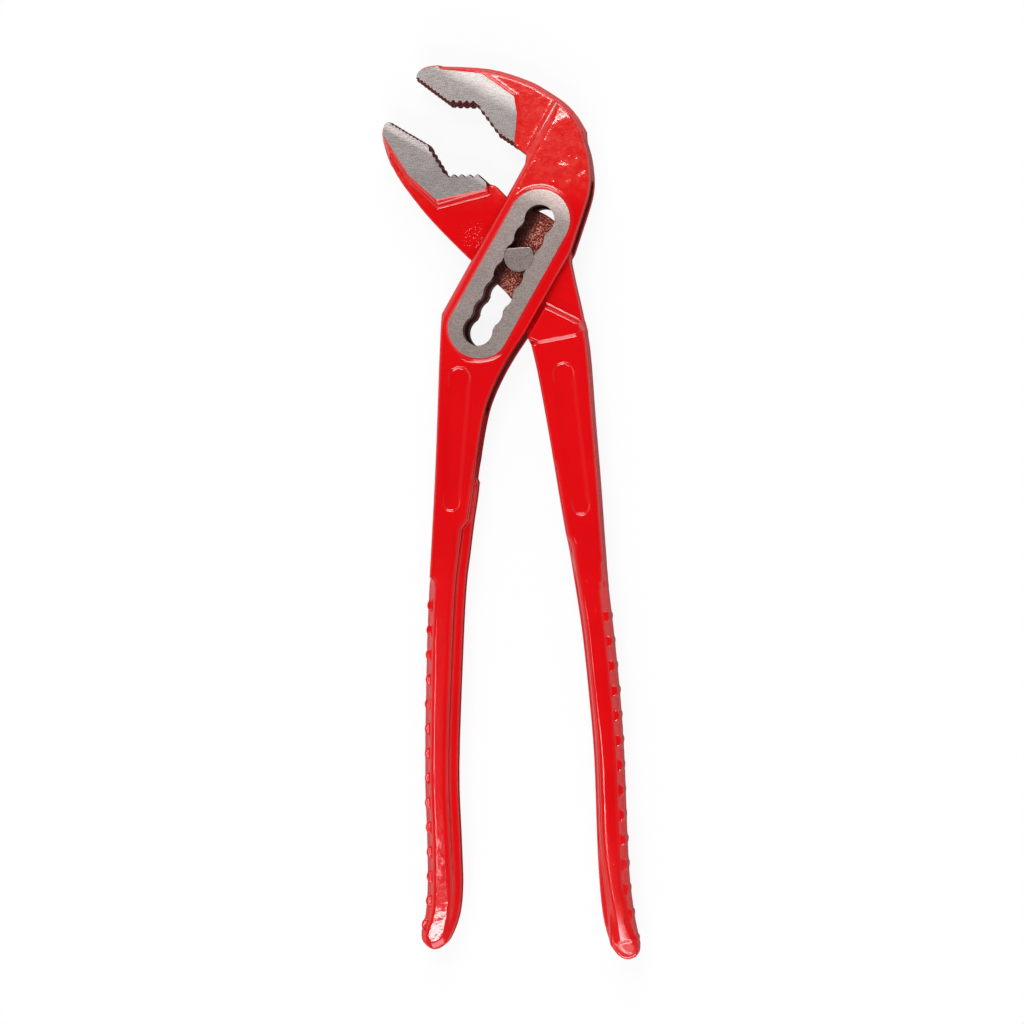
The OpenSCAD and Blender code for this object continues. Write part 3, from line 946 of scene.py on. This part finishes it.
window_painted_shade = window_inside("window_painted_shade")
tooth_sides = tooth_side("painted_shade_tooth_sides")
paint_outer = red_enamel("red_enamel_outer", worn_neck=False)
paint_inner = red_enamel("red_enamel_inner", worn_neck=True)
steel_boss = ground_steel("ground_steel_boss", turn=0.0, shine=1.0)
steel_head = ground_steel("ground_steel_pivot", turn=0.6, shine=0.75)
steel_slot = slot_steel("milled_slot")


# Pieces

whole_head = [(-FAR, -FAR), (FAR, -FAR), (FAR, FAR), (-FAR, FAR)]
upper_jaw = ((-4.6, 17), (8, 38), (8, FAR), (-FAR, FAR), (-FAR, 17))
upper_jaw = TOP_NOTCH + np.array(upper_jaw)
lower_jaw = [(-FAR, LOWER_JAW_START), (0, LOWER_JAW_START), (0, FAR), (-FAR, FAR)]

cutters = [
    prism("slot_cut", slice_loops("outer_lever", BOSS_LEVEL)[1], low=-9, high=9),
    prism("front_boss_cut", whole_head, low=BOSS_FACE, high=12),
    prism("rear_boss_cut", whole_head, low=-12, high=-BOSS_FACE),
    prism("front_pad_cut", upper_jaw, low=PAD_FACE, high=6.9),
    prism("rear_pad_cut", upper_jaw, low=-6.9, high=-PAD_FACE),
]
materials = (paint_outer, steel_boss, steel_slot, window_painted_shade, tooth_sides)
outer = lever("outer_lever_forging", outer_lever_field(), -JAW_AXIS, cutters, materials)
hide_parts("outer_lever")
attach(outer, "outer")

cutters = [
    prism("front_pad_cut", lower_jaw, low=PAD_FACE, high=9),
    prism("rear_pad_cut", lower_jaw, low=-9, high=-PAD_FACE),
]
materials = (paint_inner, steel_boss, steel_slot, window_painted_shade, tooth_sides)
inner = lever("inner_lever_forging", inner_lever_field(), JAW_AXIS, cutters, materials)
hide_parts("inner_lever")
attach(inner, "inner")


def pivot_head(node, side):
    """D-shaped pivot head with a broken edge, set into the neck."""
    sharp = 0.7
    broken_edge = 0.0002
    edit = bmesh.new()
    outline = corners_only(slice_loops(node, side * HEAD_LEVEL)[0])
    if loop_area(outline) < 0:
        outline = outline[::-1]
    ring = [edit.verts.new((x / 1000, y / 1000, SEAT_FLOOR / 1000)) for x, y in outline]
    edit.faces.new(ring[::-1])
    cap = [edit.verts.new((x / 1000, y / 1000, HEAD_FACE / 1000)) for x, y in outline]
    top = edit.faces.new(cap)
    count = len(ring)
    for i in range(count):
        k = (i + 1) % count
        edit.faces.new((ring[i], ring[k], cap[k], cap[i]))
    rim = list(top.edges)
    bmesh.ops.bevel(
        edit, geom=rim, offset=broken_edge, segments=2, affect="EDGES", profile=0.6
    )
    mesh = bpy.data.meshes.new(node + "_ground")
    edit.normal_update()
    for vert in edit.verts:
        vert.co.z = vert.co.z * side + MID_Z / 1000
    if side < 0:
        bmesh.ops.reverse_faces(edit, faces=edit.faces[:])
    for face in edit.faces:
        face.smooth = True
    for edge in edit.edges:
        edge.smooth = edge.calc_face_angle(0) < sharp
    edit.to_mesh(mesh)
    edit.free()
    obj = bpy.data.objects.new(node + "_ground", mesh)
    bpy.context.scene.collection.objects.link(obj)
    mesh.materials.append(steel_head)
    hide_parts(node)
    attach(obj, "inner")


pivot_head("front_pivot_head", side=1)
pivot_head("rear_pivot_head", side=-1)
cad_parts["pivot_pin"].data.materials.clear()
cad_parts["pivot_pin"].data.materials.append(steel_head)


# Floor, light and camera

def studio_floor():
    """Pale floor, white to the camera, that keeps the object's shadow."""
    material, n = new_material("pale_floor")
    rays = n.add("ShaderNodeLightPath").outputs
    seen = rays["Is Camera Ray"]
    mirrored = n.larger(rays["Is Glossy Ray"], rays["Is Transmission Ray"])
    share = n.larger(n.times(seen, 0.9), n.times(mirrored, 0.2))
    pale = n.mix(seen, (0.65, 0.65, 0.65, 1), (0.95, 0.95, 0.95, 1))
    matt = n.add("ShaderNodeBsdfDiffuse", {"Color": pale}).outputs[0]
    glow = n.add("ShaderNodeEmission", {"Color": (1, 1, 1, 1), "Strength": 1.0}).outputs[0]
    surface = n.add("ShaderNodeMixShader", {0: share, 1: matt, 2: glow}).outputs[0]
    n.add("ShaderNodeOutputMaterial", {"Surface": surface})
    mesh = bpy.data.meshes.new("floor")
    side = 6.0
    low = -0.0002
    corners = [(-side, -side, low), (side, -side, low), (side, side, low), (-side, side, low)]
    mesh.from_pydata(corners, [], [(0, 1, 2, 3)])
    floor = bpy.data.objects.new("floor", mesh)
    bpy.context.scene.collection.objects.link(floor)
    mesh.materials.append(material)


def studio_world():
    """Dim studio with a pale glow low on the left and a weaker one on the right."""
    world = bpy.data.worlds.new("studio")
    world.use_nodes = True
    bpy.context.scene.world = world
    n = Nodes(world.node_tree)
    rays = n.add("ShaderNodeLightPath").outputs
    x, _, z = n.split(n.add("ShaderNodeTexCoord").outputs["Generated"])
    low = n.range(z, 0.5, 0.2)
    left = n.times(n.range(x, -0.55, -0.85), 0.8)
    right = n.times(n.range(x, 0.6, 0.9), 0.45)
    strength = n.times(low, n.plus(left, right))
    strength = n.plus(strength, n.range(z, 0.95, 0.75, 0.03, 0.16))
    strength = n.blend(rays["Is Camera Ray"], strength, 1.0)
    light = n.add("ShaderNodeBackground", {"Color": (1, 1, 1, 1), "Strength": strength})
    n.add("ShaderNodeOutputWorld", {"Surface": light.outputs[0]})


def soft_box(name, place, target, size, power):
    """Rectangular lamp that points at a target."""
    light = bpy.data.lights.new(name, "AREA")
    light.shape = "RECTANGLE"
    light.size, light.size_y = size
    light.energy = power
    lamp = bpy.data.objects.new(name, light)
    lamp.location = place
    toward = Vector(target) - Vector(place)
    lamp.rotation_euler = toward.to_track_quat("-Z", "Y").to_euler()
    bpy.context.scene.collection.objects.link(lamp)


studio_floor()
studio_world()
for lamp_facts in LAMPS:
    soft_box(*lamp_facts)

lens = bpy.data.cameras.new("photo_camera")
lens.sensor_width = SENSOR_WIDTH
lens.lens = FOCAL_LENGTH
lens.clip_start = 0.01
camera = bpy.data.objects.new("photo_camera", lens)
camera.location = CAMERA_PLACE
camera.rotation_euler = (0, CAMERA_TURN, 0)
bpy.context.scene.collection.objects.link(camera)
bpy.context.scene.camera = camera
bpy.context.scene.view_settings.view_transform = "Standard"
